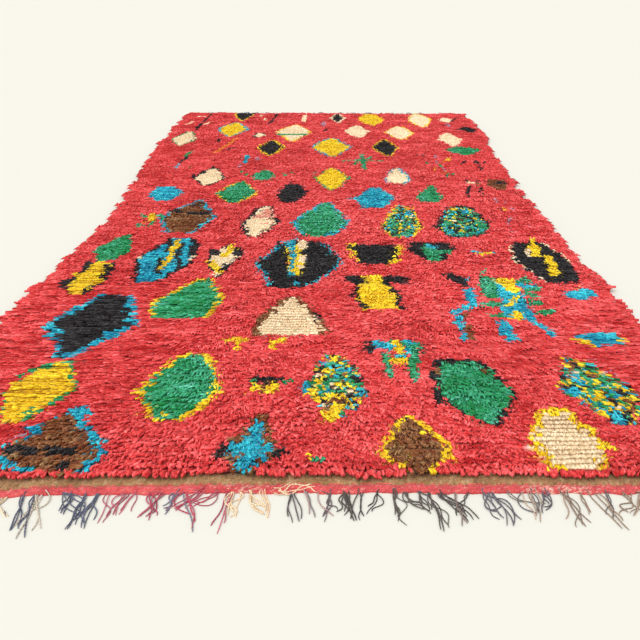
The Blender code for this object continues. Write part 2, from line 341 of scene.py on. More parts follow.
# Short strokes over them, by dye: from, to and width in millimetres, the later over the earlier
strokes = [
    # first row
    ("black", (-590, 60, -540, 58, 22), (-512, 62, -468, 58, 22), (-475, 12, -466, 30, 10),
     (-190, 46, -178, 66, 19), (-86, 54, -70, 70, 15), (164, 162, 168, 166, 12)),
    ("brown", (-540, 130, -500, 160, 26), (185, 0, 183, 30, 36)),
    ("blue", (-582, 120, -556, 112, 15), (-500, 184, -470, 166, 14), (-590, 32, -565, 15, 18),
     (-556, 6, -538, 12, 20), (-505, 168, -486, 156, 20)),
    ("yellow", (-22, 46, -20, 42, 14), (528, 86, 548, 88, 15)),
    ("green", (-8, 42, 3, 42, 12)),
    # second
    ("green", (-655, 318, -622, 340, 20), (-674, 284, -666, 300, 14), (-590, 360, -576, 350, 12),
     (-562, 212, -550, 222, 14), (-605, 170, -595, 180, 12), (305, 186, 342, 176, 32)),
    ("yellow", (-322, 375, -310, 388, 12), (-282, 386, -268, 378, 12), (-322, 156, -326, 175, 12),
     (-280, 156, -264, 178, 14), (20, 165, 26, 200, 34), (-5, 225, 20, 236, 18)),
    ("brown", (16, 214, 44, 210, 12), (6, 190, 12, 200, 10)),
    ("blue", (-36, 250, -32, 272, 14), (88, 234, 82, 262, 15), (600, 158, 604, 166, 26),
     (526, 260, 550, 250, 22)),
    ("black", (82, 290, 70, 302, 13), (262, 374, 310, 374, 13), (250, 300, 260, 356, 18),
     (246, 218, 252, 256, 18)),
    ("brown", (257, 325, 260, 342, 20), (360, 326, 364, 334, 12)),
    # small bar
    ("black", (-148, 288, -90, 285, 21)),
    ("green", (-154, 285, -152, 285, 13), (-80, 284, -76, 284, 14)),
    ("brown", (-128, 264, -124, 254, 30)),
    ("yellow", (-147, 264, -142, 250, 21), (-104, 266, -114, 250, 21)),
    # small animal
    ("green", (165, 444, 225, 436, 30)),
    ("blue", (130, 438, 158, 426, 34)),
    ("black", (108, 450, 113, 405, 18)),
    ("yellow", (122, 452, 124, 452, 10), (176, 444, 186, 405, 20)),
    ("blue", (210, 450, 205, 402, 18)),
    ("green", (222, 430, 215, 368, 18), (150, 390, 150, 308, 18)),
    ("black", (235, 452, 242, 446, 10), (228, 408, 248, 410, 10)),
    ("yellow", (165, 368, 192, 368, 22)),
    ("blue", (172, 386, 190, 386, 10)),
    ("green", (206, 370, 206, 298, 18)),
    # yellow marks
    ("yellow", (-240, 454, -194, 458, 17), (-202, 450, -206, 420, 19), (-122, 450, -96, 452, 16),
     (-116, 446, -120, 422, 14)),
    # third row
    ("blue", (-675, 490, -655, 484, 22), (-535, 478, -510, 470, 22)),
    ("black", (-16, 584, -18, 562, 16), (80, 798, 100, 776, 44), (188, 792, 230, 784, 42),
     (108, 636, 114, 624, 20), (176, 768, 180, 756, 18), (186, 728, 190, 716, 14), (204, 620, 214, 618, 13)),
    ("yellow", (128, 800, 156, 800, 26)),
    # squiggle
    ("black", (348, 820, 372, 826, 14), (372, 830, 370, 785, 20), (388, 795, 400, 758, 28)),
    ("blue", (412, 786, 425, 788, 14), (392, 724, 416, 730, 20), (406, 712, 400, 645, 26),
     (390, 632, 364, 618, 22)),
    ("brown", (380, 602, 364, 572, 18)),
    ("blue", (345, 604, 352, 580, 20), (350, 570, 346, 470, 20)),
    ("brown", (366, 512, 364, 472, 18)),
    # long-legged figure
    ("green", (484, 872, 458, 812, 12), (470, 786, 468, 716, 46), (448, 752, 452, 720, 26),
     (565, 784, 582, 790, 34)),
    ("blue", (562, 752, 592, 752, 30)),
    ("green", (566, 722, 604, 742, 20), (562, 696, 576, 682, 26)),
    ("blue", (516, 745, 514, 625, 60), (486, 640, 480, 590, 28)),
    ("yellow", (504, 784, 538, 784, 30), (522, 770, 527, 728, 42), (522, 682, 498, 640, 13),
     (506, 596, 500, 574, 30)),
    ("green", (443, 688, 474, 694, 18), (434, 640, 464, 645, 24), (436, 585, 462, 584, 20),
     (554, 650, 582, 650, 18), (572, 598, 592, 602, 24)),
    ("yellow", (488, 566, 512, 566, 20)),
    ("blue", (536, 606, 534, 568, 32), (458, 545, 452, 492, 30), (456, 482, 464, 466, 22),
     (550, 544, 562, 516, 22), (562, 506, 570, 488, 24), (690, 702, 726, 708, 52), (644, 466, 706, 472, 52)),
    ("yellow", (702, 738, 716, 740, 10), (616, 464, 646, 446, 16), (732, 486, 728, 466, 14)),
    # fourth row
    ("black", (-750, 765, -740, 725, 14), (-720, 882, -712, 840, 22), (-654, 858, -640, 832, 20),
     (-655, 800, -648, 790, 14), (-430, 1056, -418, 950, 26), (-412, 1040, -406, 1024, 12),
     (-514, 1076, -502, 1020, 20), (-504, 1020, -502, 960, 12), (-512, 930, -498, 830, 15),
     (-466, 1030, -458, 930, 20), (-452, 905, -436, 850, 20), (-498, 836, -488, 812, 14),
     (-576, 905, -552, 820, 14), (-355, 984, -345, 958, 36), (-285, 1000, -270, 958, 32)),
    ("yellow", (-735, 812, -722, 802, 18), (-652, 772, -640, 764, 16), (-487, 1066, -476, 1000, 17),
     (-488, 1000, -478, 925, 19), (-484, 912, -496, 850, 18), (-300, 1020, -315, 938, 26),
     (-345, 888, -317, 838, 26), (-98, 1010, -90, 830, 38), (-84, 1000, -80, 955, 14)),
    ("blue", (-458, 1068, -440, 1030, 22), (-446, 990, -430, 930, 18), (-466, 872, -458, 830, 20),
     (-116, 1056, -110, 1020, 34)),
    ("cream", (-576, 940, -571, 918, 12), (-412, 948, -408, 940, 9), (-416, 916, -412, 908, 9),
     (-74, 1046, -74, 1005, 30), (-68, 945, -70, 862, 20)),
    ("black", (-297, 874, -302, 844, 18)),
    ("yellow", (-124, 1004, -118, 990, 16), (-72, 896, -70, 884, 9)),
    ("blue", (-102, 992, -96, 905, 16), (-98, 895, -102, 850, 13), (-100, 826, -98, 812, 14),
     (-90, 1088, -98, 1060, 12)),
    ("orange", (-110, 974, -106, 968, 10), (-112, 905, -110, 898, 10), (-78, 886, -76, 880, 10)),
    ("black", (-156, 1052, -148, 1010, 16), (78, 1016, 100, 1005, 30), (712, 798, 728, 900, 52)),
    ("blue", (-160, 1014, -150, 994, 10), (-166, 768, -158, 746, 12), (-80, 768, -72, 746, 12)),
    ("yellow", (74, 1044, 90, 1032, 13)),
    ("green", (334, 1025, 338, 930, 44), (345, 975, 388, 985, 28)),
    ("blue", (334, 1040, 354, 1022, 16), (466, 976, 532, 982, 14)),
    ("yellow", (487, 966, 516, 980, 24), (694, 1100, 660, 1030, 14), (678, 1035, 663, 966, 32),
     (697, 955, 684, 905, 26), (690, 895, 678, 836, 30)),
    ("cream", (648, 1010, 640, 966, 14)),
    # fifth row
    ("green", (-666, 1297, -650, 1267, 13)),
    ("yellow", (-627, 1302, -618, 1252, 24), (476, 1378, 468, 1358, 20)),
    ("green", (-604, 1302, -577, 1254, 14), (-656, 1207, -642, 1188, 20), (-610, 1237, -612, 1204, 14),
     (228, 1247, 240, 1192, 26), (288, 1152, 270, 1124, 26)),
    ("orange", (-640, 1232, -638, 1222, 10), (296, 1392, 306, 1372, 22)),
    ("black", (-495, 1320, -430, 1318, 34), (-560, 1328, -532, 1322, 22), (-498, 1402, -472, 1417, 26),
     (-422, 1224, -406, 1212, 12), (-304, 1246, -288, 1238, 12)),
    ("pink", (-214, 1337, -216, 1302, 38), (-248, 1288, -192, 1288, 26), (-212, 1254, -190, 1248, 13),
     (-250, 1220, -190, 1220, 16)),
    ("black", (-174, 1267, -166, 1244, 18), (-262, 1337, -252, 1360, 16), (268, 1297, 274, 1247, 14),
     (648, 1378, 652, 1370, 11)),
    ("blue", (-42, 1390, -38, 1357, 13), (8, 1122, 20, 1132, 18), (46, 1172, 60, 1166, 12),
     (300, 1327, 303, 1312, 16), (515, 1364, 520, 1344, 18)),
    ("green", (266, 1378, 270, 1362, 18), (426, 1242, 430, 1212, 26), (538, 1232, 548, 1192, 36)),
    ("lavender", (662, 1284, 640, 1234, 8), (641, 1192, 637, 1157, 7), (702, 1228, 703, 1187, 6)),
    ("orange", (662, 1384, 664, 1368, 18)),
    ("lavender", (690, 1384, 692, 1377, 10), (652, 1472, 656, 1444, 8), (679, 1472, 683, 1452, 8)),
    # sixth row
    ("black", (-150, 1690, -146, 1656, 7), (583, 1718, 582, 1694, 13), (627, 1716, 622, 1690, 11),
     (584, 1638, 563, 1563, 17), (562, 1558, 554, 1504, 11), (624, 1618, 614, 1558, 15),
     (713, 1692, 731, 1678, 32)),
    ("blue", (94, 1488, 124, 1498, 16)),
    ("cream", (589, 1688, 605, 1678, 17)),
    ("brown", (624, 1682, 618, 1648, 10), (612, 1546, 608, 1530, 8)),
    # seventh row
    ("black", (-540, 1834, -531, 1799, 22), (-506, 1896, -501, 1869, 15), (-571, 1774, -556, 1724, 10),
     (-240, 1814, -232, 1802, 9)),
    ("green", (-372, 1834, -364, 1808, 14), (-346, 1786, -338, 1764, 9), (-52, 1834, -50, 1789, 7),
     (-55, 1764, -50, 1736, 11), (100, 1754, 96, 1726, 10), (-185, 1799, -178, 1774, 11),
     (-152, 1820, -150, 1804, 9)),
    ("brown", (-606, 1896, -604, 1856, 11)),
    # eighth row
    ("black", (-665, 1960, -655, 2060, 16), (437, 2106, 429, 2088, 10), (460, 2098, 455, 2074, 9),
     (644, 2004, 611, 1958, 11), (681, 1994, 680, 1960, 16), (670, 1968, 724, 1978, 13),
     (683, 1946, 681, 1924, 9), (682, 1902, 680, 1874, 14)),
    ("green", (-668, 2060, -650, 2150, 18), (70, 2000, 255, 2000, 20), (166, 1880, 166, 2100, 18),
     (120, 1940, 210, 2060, 14), (458, 1992, 452, 1954, 10), (512, 1947, 508, 1914, 11),
     (555, 1814, 541, 1786, 9), (522, 1794, 515, 1770, 14)),
    ("blue", (-374, 1960, -374, 2050, 20), (-668, 1937, -658, 1852, 9)),
    ("lavender", (-320, 2000, -320, 2040, 18), (-392, 1942, -388, 1874, 9), (510, 2096, 505, 2048, 12),
     (505, 2012, 499, 1967, 8), (518, 1902, 515, 1838, 7)),
    ("yellow", (567, 2054, 558, 2016, 12)),
    ("orange", (536, 2012, 530, 1994, 11), (480, 1884, 476, 1854, 11), (515, 1828, 496, 1818, 11)),
    # ninth row
    ("orange", (-460, 2400, -536, 2130, 18)),
    ("black", (-552, 2330, -548, 2380, 18), (-476, 2180, -464, 2210, 16)),
    ("green", (-250, 2478, -112, 2478, 40)),
    # eleventh row
    ("black", (-690, 3020, -710, 2576, 13), (-330, 2700, -298, 2960, 14), (-12, 2570, -8, 2600, 16),
     (705, 2800, 745, 2880, 14)),
    ("cream", (-790, 2700, -765, 2760, 16), (-680, 2690, -660, 2760, 16), (-755, 2890, -725, 2910, 16),
     (-360, 2810, -356, 2850, 16), (-392, 2910, -386, 2945, 16), (-134, 2790, -134, 2936, 22)),
    ("lavender", (-23, 2680, -23, 2775, 22), (670, 2690, 670, 2715, 20)),
]

# how single knots take their dye at the edge of a shape and in mixed wool
dyeing = {
    "mixed": ("yellow", "black", "green", "blue", "brown", "cream"),
    "mixedShares": {"mixed": (0.25, 0.19, 0.23, 0.19, 0.11, 0.03),
                    "darkMixed": (0.12, 0.29, 0.37, 0.18, 0.03, 0.01)},
    "spot": 0.0095,             # mixed wool has spots of one dye
    "spotBend": 0.002,
    "spotWaves": (300, 250),    # radians for each metre
    "spotTable": 64,            # spots before they repeat
    "spotSeed": 3,
    "step": 0.006,              # sides step in and out by this, with this period
    "stepPeriod": 0.012,
    "stepShift": 4,             # radians by which the steps shift, in spots of this size
    "stepSpots": 0.05,
    "stepFrom": 0.4,            # from this share of the half width outward
    "ragged": 0.0016,           # a knot's own error at an edge
    "strokeRagged": 0.6,        # what share of the error and of the steps a stroke's edge has
    "strokeStep": 0.3,
    "patchy": (0.6, 0.016, 0.55, 1.6),      # rims: swing of their width, size of spots, least, most
}
# slanting waves that make up the wandering value: turns across and along, and phase
wanderWaves = (((0.31, 0.17, 1.3), (-0.11, 0.23, 0.4)), ((0.53, -0.29, 2.1), (0.19, 0.47, 0.0)))
wanderSize = 0.7


def wander(u, v, size):
    """A value between about minus one and one that wanders over the field, with spots of a size:
    a sum of products of two waves."""
    a, b = math.tau * u / size, math.tau * v / size
    products = [math.prod(np.sin(p * a + q * b + phase) for p, q, phase in pair) for pair in wanderWaves]
    return sum(products) * wanderSize


def fromLine(u, v, start, end):
    """Distance of each place from a short line: from the nearest of its points."""
    run = np.array(end) - start
    t = np.clip(((u - start[0]) * run[0] + (v - start[1]) * run[1]) / max(float(run @ run), 1e-9), 0, 1)
    return np.hypot(u - start[0] - t * run[0], v - start[1] - t * run[1])


def knotDyes(u, v, rng):
    """The dye of each knot, as an index: a lozenge's half width falls from its widest place to its
    two ends, a stroke is the band beside a short line, and the last one drawn wins."""
    dye = np.zeros(u.shape, np.int16)
    choices = [dyeNames.index(name) for name in dyeing["mixed"]]
    table, bend = dyeing["spotTable"], dyeing["spotBend"]
    acrossWave, alongWave = dyeing["spotWaves"]
    spotU = np.floor((u + bend * np.sin(acrossWave * v)) / dyeing["spot"]).astype(int) % table
    spotV = np.floor((v + bend * np.sin(alongWave * u)) / dyeing["spot"]).astype(int) % table
    spotted = {}
    for name, shares in dyeing["mixedShares"].items():
        spots = np.random.default_rng(dyeing["spotSeed"]).choice(choices, size=(table, table), p=shares)
        spotted[name] = spots[spotU, spotV]
    shift = dyeing["stepShift"] * wander(u, v, dyeing["stepSpots"])
    rowStep = dyeing["step"] * np.sin(math.tau * v / dyeing["stepPeriod"] + shift)
    ragged = rng.normal(0.0, dyeing["ragged"], u.shape)
    depth, size, *limits = dyeing["patchy"]
    patchy = np.clip(1 + depth * wander(u, v, size), *limits)

    def lay(where, name):
        dye[where] = spotted[name][where] if name in spotted else dyeNames.index(name)

    for row in lozenges:
        left, right, near, far, lean = np.array(row[:5]) / 1000
        widest, foot, top, straight = np.array(row[5:9]) / 100
        main, edge, *rims = row[9:] if len(row) > 10 else (row[9], row[9], 0, 0, 0, 0)
        leftRim, rightRim, nearRim, farRim = np.array(rims) / 1000
        share = (v - near) / (far - near)
        safe = np.clip(share, 0, 1)
        toFoot = foot + (1 - foot) * (safe / widest) ** straight
        toTop = top + (1 - top) * ((1 - safe) / (1 - widest)) ** straight
        half = 0.5 * (right - left) * np.minimum(toFoot, toTop)
        middle = 0.5 * (left + right) + lean * (share - 0.5)
        aside = np.abs(u - middle)
        reach = half - aside + ragged + rowStep * (aside > dyeing["stepFrom"] * half)
        inside = (share > 0) & (share < 1) & (reach > 0)
        core = ((reach > np.where(u < middle, leftRim, rightRim) * patchy)
                & (v - near > nearRim * patchy) & (far - v > farRim * patchy))
        lay(inside, edge)
        lay(inside & core, main)
    for name, *marks in strokes:
        for mark in marks:
            startU, startV, endU, endV, width = np.array(mark) / 1000
            away = fromLine(u, v, (startU, startV), (endU, endV))
            lay(away + ragged * dyeing["strokeRagged"] + dyeing["strokeStep"] * rowStep < 0.5 * width, name)
    return dye


# The knotted pile: a lock of yarn is a tube of a few rings of points between its root and its tip.
# It comes out of the yarn on the ground cloth below, bends over and lies on its neighbours
pile = {
    # the near part has finer locks: from and to as shares of the length, and the rings of a lock
    # as share of its run, share of the pile's height and share of its radius
    "parts": (
        {"name": "near", "from": 0.0, "to": 0.25, "rows": 60, "columns": 279, "strips": 3,
         "rings": ((0.18, 0.86, 0.90), (0.89, 0.94, 1.0))},
        {"name": "far", "from": 0.25, "to": 1.0, "rows": 180, "columns": 204, "strips": 4,
         "rings": ((0.48, 0.93, 1.0),)},
    ),
    "sides": 3,
    # at distances from the near end: how far a lock lies from its root, its radius, the height of
    # its tip, how far locks lean off to both sides by turns, how unevenly they turn, and how far
    # apart the two lines of locks in a row of knots lie
    "from": (0.00, 0.15, 0.40, 0.74, 0.78, 3.02),
    "run": (0.0125, 0.0130, 0.0160, 0.0165, 0.0175, 0.0180),
    "radius": (0.0035, 0.0033, 0.0030, 0.0028, 0.0034, 0.0035),
    "tipHeight": (0.80, 0.82, 0.84, 0.86, 0.86, 0.86),
    "splay": (0.70, 0.70, 0.97, 0.97, 0.97, 0.97),
    "turnSpread": (0.32, 0.28, 0.16, 0.15, 0.15, 0.15),
    "linesApart": (0.0030, 0.0036, 0.0052, 0.0052, 0.0054, 0.0054),
    "combedApart": 0.0043,      # the same where the pile is combed
    "stray": (0.09, 2.4),       # share of locks that turn more, and how much more
    "combCalm": 0.6,            # how much less unevenly the combed ones turn
    # the cream yarn: its share of the unevenness, how much thicker and shorter its locks are, how
    # far apart its two lines lie, the painted shade of its roots, and how much darker its bends and
    # tips are painted, as shade on the lines between its rows
    "cream": {"calm": 0.15, "thick": 1.55, "run": 0.82, "apart": 0.0016, "root": 0.42, "bend": 0.34,
              "tip": 0.42},
    # how strongly that painted shade of the lines shows, near and further off, and how much that varies
    "creamLinesAt": (0.2, 0.4),
    "creamLines": (0.45, 0.85),
    "creamLinesVary": 0.55,
    "yellowCalm": 0.65,
    # partings where the pile lies open: from, to, half width, how much lower, and how much darker
    # with painted shade; each takes in whatever row of knots lies within its reach, so that it runs on
    # without a break
    "partingReach": 0.0032,
    "partings": (
        ((-0.780, 0.748), (-0.700, 0.743), 0.0040, 0.0034, 0.40),
        ((-0.640, 0.750), (-0.400, 0.739), 0.0050, 0.0038, 0.46),
        ((-0.670, 0.128), (-0.570, 0.108), 0.0160, 0.0034, 0.44),
        ((-0.720, 0.140), (-0.640, 0.150), 0.0100, 0.0034, 0.40),
        ((0.250, 0.045), (0.430, 0.062), 0.0100, 0.0030, 0.32),
        ((0.270, 0.080), (0.400, 0.092), 0.0050, 0.0030, 0.30),
        ((0.110, 1.062), (0.290, 1.046), 0.0100, 0.0034, 0.42),
        ((-0.300, 1.085), (-0.120, 1.078), 0.0080, 0.0030, 0.26),
        ((-0.780, 0.412), (-0.640, 0.396), 0.0050, 0.0034, 0.48),
        ((-0.790, 0.446), (-0.680, 0.438), 0.0050, 0.0034, 0.48),
        ((-0.790, 0.352), (-0.720, 0.350), 0.0050, 0.0034, 0.44),
    ),
    # fine ones between the rows of the combed pile: number, range across and along, length, half
    # width, how much lower, and how much darker with painted shade
    "fineLines": (
        (34, (-0.80, -0.38), (0.16, 0.86), (0.06, 0.22), 0.0032, 0.0026, 0.30),
        (16, (-0.76, -0.30), (0.86, 1.60), (0.06, 0.18), 0.0040, 0.0026, 0.22),
        (14, (0.25, 0.72), (0.04, 0.30), (0.06, 0.16), 0.0032, 0.0024, 0.22),
        (18, (0.44, 0.72), (0.30, 0.82), (0.05, 0.16), 0.0032, 0.0026, 0.26),
        (26, (-0.32, 0.34), (0.36, 0.76), (0.03, 0.09), 0.0032, 0.0024, 0.24),
        (14, (0.15, 0.72), (0.82, 1.30), (0.06, 0.18), 0.0040, 0.0024, 0.22),
        (12, (-0.60, 0.60), (1.30, 2.00), (0.06, 0.16), 0.0050, 0.0022, 0.16),
    ),
    "fineLineSlant": 0.006,
    "fineLineSeed": 41,
    "clear": 0.0004,            # locks stay this far above the floor
    "rootHeight": 0.62,         # as a share of the pile's
    "runSpread": 0.22,
    "runLimits": (0.006, 0.030),
    "combRun": 0.15,            # how much longer the combed ones lie
    # sideways share of the combing, at distances across and along
    "combAcross": (-0.75, -0.45, -0.20, 0.15, 0.45, 0.75),
    "combSide": (-0.98, -0.95, -0.50, 0.10, 0.80, 0.97),
    "combAlong": (0.0, 0.06, 0.25, 1.2, 3.0),
    "combShare": (0.25, 0.50, 1.0, 1.0, 0.9),
    "combVary": 0.20,
    "mostLean": 0.97,
    # change of tone where the pile is combed to the left and to the right, and far along
    "combTone": (-0.10, -0.04),
    "farTone": -0.06,
    "farToneAt": (1.2, 2.2),
    "clumpTurn": 0.14,          # how much locks turn together
    # the kind of yarn is looked up this share of a lock's length nearer, and its dye this share of
    # the way from its root to its tip
    "kindNearer": 0.6,
    "dyeAhead": 0.7,
    # the outermost knots: how many, how much longer, fatter, lower and lower at the tip they are,
    # how much more even in length and tone, how far they stray from a straight edge at the near
    # end and at the sides, and how many knots that takes in
    "lip": {"knots": 4.5, "run": 0.16, "fat": 0.30, "crest": 0.14, "tip": 0.27, "evenRun": 0.6,
            "evenTone": 0.5, "scallop": 0.0020, "sideScallop": 0.0080, "scallopKnots": 5,
            "sideScallopKnots": 7},
    "rimKnots": 3,              # so many knots at the sides and the far end are turned outward
    "rimLean": (0.8, 0.12),     # at least so much at the side, less for each knot inward
    "farAhead": (0.6, 0.4),     # the same at the far end
    "nearLean": (0.65, 10),     # the first rows lean less: share, and rows until they lean fully
    "lineShift": 0.0007,        # how far single locks are off their place along and across
    "sideShift": 0.0010,
    "rowWave": 0.0013,
    "rowHeight": 0.0013,        # furrows: height, and painted shade that darkens the low locks and lightens the high ones, and from what depth it darkens faster
    "furrowShade": 0.08,
    "furrowDeep": 0.8,
    "clumpHeight": 0.0008,
    "fatSpread": 0.20,
    "fatLimits": (0.55, 1.6),
    "heightSpread": 0.0009,
    "toneLimits": (0.6, 1.5),
    # what single locks and drifts of locks add to the unevenness of lengths and tones
    "runMix": (0.8, 0.6),
    "toneMix": (0.8, 0.5),
    # spans of the random drifts, in lines and columns of locks
    "spans": {"comb": (22, 20), "turn": (1.2, 2.0), "run": (0.6, 9), "furrow": (0.40, 1.6),
              "height": (1.4, 2.0), "tone": (1.4, 2.5), "wave": (0.6, 6), "creamLines": (0.5, 9),
              "scallop": (6, 3.2), "sideScallop": (2.6, 9)},
    "body": 0.76,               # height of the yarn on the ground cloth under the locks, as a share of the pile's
    "shade": (0.74, 1.0, 1.03),     # painted shade at the root and a painted highlight at the tip: root, rings, tip
    "bendShade": 0.90,          # painted shade at the first of two rings, where a lock comes out and bends under the row behind
    "seed": 7,
    "creamRoll": math.pi / 6,   # turns a flat side of a cream lock up
    # its finish, with the fibres' scale for a lock's width and a row's length of the map
    "fibres": (7.0, 2.6),
    "finish": {"mottle": 0.14, "mottleScale": 420.0, "abrash": 0.16, "abrashScale": 3.2,
               "relief": 0.6, "depth": 0.0007, "sheen": 0.07, "streak": 1.2},
}


def finePartings():
    """Short lines along the rows, each at a slight slant of its own."""
    rng = np.random.default_rng(pile["fineLineSeed"])
    lines = []
    for count, across, along, length, width, lower, darker in pile["fineLines"]:
        for _ in range(count):
            u, v, reach = rng.uniform(*across), rng.uniform(*along), rng.uniform(*length)
            end = (u + reach, v + rng.normal(0, pile["fineLineSlant"]))
            lines.append(((u, v), end, width, lower, darker))
    return lines


partings = (*pile["partings"], *finePartings())


def drift(rng, shape, rowSpan, columnSpan):
    """A smooth random field over the knots: white noise blurred by a Gaussian, with unit spread."""
    down = np.fft.fftfreq(shape[0])[:, None] * rowSpan
    over = np.fft.rfftfreq(shape[1])[None, :] * columnSpan
    blur = np.exp(-2 * (math.pi * down) ** 2 - 2 * (math.pi * over) ** 2)
    field = np.fft.irfft2(np.fft.rfft2(rng.standard_normal(shape)) * blur, s=shape)
    return field / field.std()


def combing(u, v, vary):
    """Share of each lock's heading that is combed to the left (below 0) or to the right."""
    comb = (np.interp(u, pile["combAcross"], pile["combSide"])
            * np.interp(v, pile["combAlong"], pile["combShare"]))
    return np.clip(comb + pile["combVary"] * vary, -pile["mostLean"], pile["mostLean"])


def knotField(part, rng):
    """Places, headings, lengths, heights and dyes of a part's locks, as arrays of rows by columns."""
    rows, columns = 2 * part["rows"], part["columns"]
    row, column = np.meshgrid(np.arange(rows), np.arange(columns), indexing="ij")
    line = row % 2
    shareAlong = part["from"] + (part["to"] - part["from"]) * (row // 2 + 0.5) / part["rows"]
    # the two lines of a row stand half a knot apart
    x, y = fieldPlace((column + 0.25 + 0.5 * line) / columns, shareAlong)
    u, v = x, y + rug["centre"]
    edge, cream = pile["lip"], pile["cream"]

    def drifting(name):
        return drift(rng, u.shape, *pile["spans"][name])

    def rowDrift(name):
        return np.repeat(drift(rng, (part["rows"], columns), *pile["spans"][name]), 2, axis=0)

    def single():
        return rng.standard_normal(u.shape)

    def along(key):
        return np.interp(v, pile["from"], pile[key])

    # an end where the other part goes on counts as far off
    fromLeft, fromRight = column, columns - 1 - column
    fromNear = row if part["from"] == 0 else row + rows
    fromFar = rows - 1 - row if part["to"] == 1 else row + rows
    lip = np.clip(1 - np.minimum.reduce((fromLeft, fromRight, fromNear, fromFar)) / edge["knots"], 0, 1)
    nearLip = np.clip(1 - fromNear / edge["knots"], 0, 1)

    # headings
    comb = combing(u, v, drifting("comb"))
    turns = np.where(rng.uniform(0, 1, u.shape) < 0.5, -1.0, 1.0)
    kind = knotDyes(u, v - pile["kindNearer"] * along("run"), rng)
    creamHere = kind == creamDye
    smoother = np.where(creamHere, cream["calm"], np.where(kind == yellowDye, pile["yellowCalm"], 1.0))
    calm = smoother * (1 - pile["combCalm"] * np.abs(comb))
    lean = comb + along("splay") * smoother * (1 - np.abs(comb)) * turns
    share, rowsToFull = pile["nearLean"]
    lean = np.clip(lean, -pile["mostLean"], pile["mostLean"]) * np.clip(share + fromNear / rowsToFull, 0, 1)
    least, less = pile["rimLean"]
    for way, inward in ((-1, fromLeft), (1, fromRight)):
        lean = np.where(inward < pile["rimKnots"], way * np.maximum(way * lean, least - less * inward), lean)
    most, less = pile["farAhead"]
    ahead = np.where(fromFar < pile["rimKnots"], most - less * fromFar, -np.sqrt(1 - lean ** 2))
    run = along("run") * (1 + pile["combRun"] * np.abs(comb)) * (1 + edge["run"] * lip)
    run = run * np.where(creamHere, cream["run"], 1.0)
    reach = pile["dyeAhead"]
    dye = knotDyes(u + reach * lean * run, v + reach * ahead * run, rng)
    share, more = pile["stray"]
    straying = np.where(rng.uniform(0, 1, u.shape) < share, more, 1.0) * calm
    turn = pile["clumpTurn"] * drifting("turn") + along("turnSpread") * single() * straying
    ones, clumps = pile["runMix"]
    uneven = pile["runSpread"] * (ones * single() + clumps * drifting("run"))
    run = run * (1 + uneven * (1 - edge["evenRun"] * nearLip) * smoother)

    # heights and tones
    furrow = drifting("furrow") * smoother
    high = (rug["pileTop"] + lumpsAt(x, y) + pile["clumpHeight"] * drifting("height") * smoother
            + pile["rowHeight"] * furrow * (1 - lip))
    ones, clumps = pile["toneMix"]
    spread = np.array([dyeSpread[name] for name in dyeNames])[dye]
    tone = 1 + spread * (ones * single() + clumps * drifting("tone"))
    # painted shade: locks low in the furrows are darker and high ones lighter
    deeper = np.maximum(0, -furrow - pile["furrowDeep"])
    tone = tone + pile["furrowShade"] * (furrow - deeper) * (1 - edge["evenTone"] * lip)
    left, right = pile["combTone"]
    lighter = left * np.minimum(comb, 0) ** 2 + right * np.maximum(comb, 0) ** 2
    lighter = lighter + np.interp(v, pile["farToneAt"], (0, pile["farTone"]))
    tone = tone + np.where(dye == creamDye, 0, lighter)
    # the partings are lower, with painted shade in them
    for start, end, width, lower, darker in partings:
        away = np.maximum(fromLine(u, v, start, end) - pile["partingReach"], 0)
        dip = np.where(creamHere, 0, np.exp(-(away / width) ** 2))
        high = high - lower * dip
        tone = tone - darker * dip

    # places
    wave = rowDrift("wave")
    # painted shade on the lines between the rows of cream knots
    creamRowShade = np.interp(v, pile["creamLinesAt"], pile["creamLines"])
    creamRowShade = creamHere * np.clip(creamRowShade + pile["creamLinesVary"] * rowDrift("creamLines"), 0, 1)
    linesApart = along("linesApart") + (pile["combedApart"] - along("linesApart")) * np.abs(comb)
    linesApart = np.where(creamHere, cream["apart"], linesApart)
    y = y + (line - 0.5) * linesApart + pile["rowWave"] * wave * smoother
    y = y + pile["lineShift"] * single() * smoother
    y = y - edge["scallop"] * drifting("scallop")[0] * np.clip(1 - fromNear / edge["scallopKnots"], 0, 1)
    atSide = np.clip(1 - np.minimum(fromLeft, fromRight) / edge["sideScallopKnots"], 0, 1)
    x = x + edge["sideScallop"] * drifting("sideScallop") * atSide

    def forWool(creams, others):
        return np.where(creamHere, creams, others)

    return {"x": x + pile["sideShift"] * single() * smoother, "y": y,
            "side": lean * np.cos(turn) - ahead * np.sin(turn),
            "front": lean * np.sin(turn) + ahead * np.cos(turn),
            "run": np.clip(run, *pile["runLimits"]),
            "high": high + pile["heightSpread"] * calm * single(),
            "crest": 1 - edge["crest"] * lip, "tipHeight": along("tipHeight") - edge["tip"] * lip,
            "dye": dye, "tone": np.clip(tone, *pile["toneLimits"]),
            "roll": forWool(pile["creamRoll"], rng.uniform(0, math.tau, u.shape)),
            "radius": along("radius") * (1 + edge["fat"] * lip) * forWool(cream["thick"], 1)
            * np.clip(1 + pile["fatSpread"] * single() * smoother, *pile["fatLimits"]),
            # painted shade at roots and bends and a painted highlight at tips; cream locks get painted shade
            # at their roots, and at bends and tips on their row lines
            "rootShade": forWool(cream["root"], pile["shade"][0]),
            "bendShade": forWool(1 - cream["bend"] * creamRowShade, pile["bendShade"]),
            "tipShade": forWool(1 - cream["tip"] * creamRowShade, pile["shade"][-1])}


# a lock's cell of the map: its margin, and the heights of its rings' lines
cellMargin = 0.05
ringLevels = {1: (0.5,), 2: (0.30, 0.75)}


